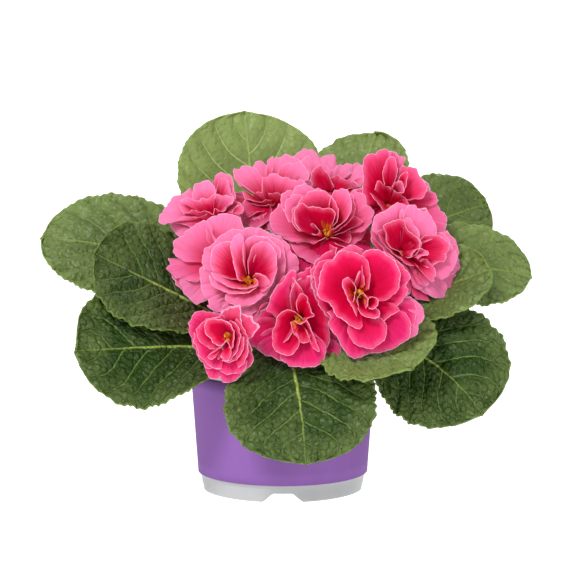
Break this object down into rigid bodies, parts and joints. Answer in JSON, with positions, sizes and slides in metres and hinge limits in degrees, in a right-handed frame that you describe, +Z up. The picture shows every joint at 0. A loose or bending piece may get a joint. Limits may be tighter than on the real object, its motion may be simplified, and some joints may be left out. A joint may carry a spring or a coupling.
{
  "type": "potted primrose",
  "caption": "Double-flowered primrose in a round plastic grower's pot, with layered pink blooms on stalks above crinkled green leaves.",
  "frame": {"origin": "on the pot's axis, at the level of the surface the pot stands on", "axes": "+Z up along the pot's axis, -Y towards the plant's front, where the blooms face"},
  "size_m": [0.2804, 0.1841, 0.2063],
  "materials": {
    "pot": "satin, slightly translucent pale grey",
    "label": "smooth plain mauve film",
    "soil": "crumbly, matt",
    "crown": "fibrous, matt",
    "leaves": "crinkled, semi-gloss",
    "stalks": "finely hairy, satin",
    "petals": "velvety, soft"
  },
  "bodies": {
    "root": {"pot": "pot", "label_band": "label", "soil": "soil", "crown": "crown", "leaf_front": "leaves", "leaf_front_left": "leaves", "leaf_front_right": "leaves", "leaf_left_low": "leaves", "leaf_left_high": "leaves", "leaf_right_low": "leaves", "leaf_right_mid": "leaves", "leaf_right_high": "leaves", "leaf_back_right": "leaves", "leaf_back_left": "leaves", "leaf_under_blooms": "leaves", "leaf_rear_left": "leaves", "leaf_rear": "leaves", "leaf_rear_right": "leaves", "bloom_01": "petals", "stalk_01": "stalks", "bloom_02": "petals", "stalk_02": "stalks", "bloom_03": "petals", "stalk_03": "stalks", "bloom_04": "petals", "stalk_04": "stalks", "bloom_05": "petals", "stalk_05": "stalks", "bloom_06": "petals", "stalk_06": "stalks", "bloom_07": "petals", "stalk_07": "stalks", "bloom_08": "petals", "stalk_08": "stalks", "bloom_09": "petals", "stalk_09": "stalks", "bloom_10": "petals", "stalk_10": "stalks", "bloom_11": "petals", "stalk_11": "stalks", "bloom_12": "petals", "stalk_12": "stalks", "bloom_13": "petals", "stalk_13": "stalks", "bloom_14": "petals", "stalk_14": "stalks"}
  },
  "joints": []
}
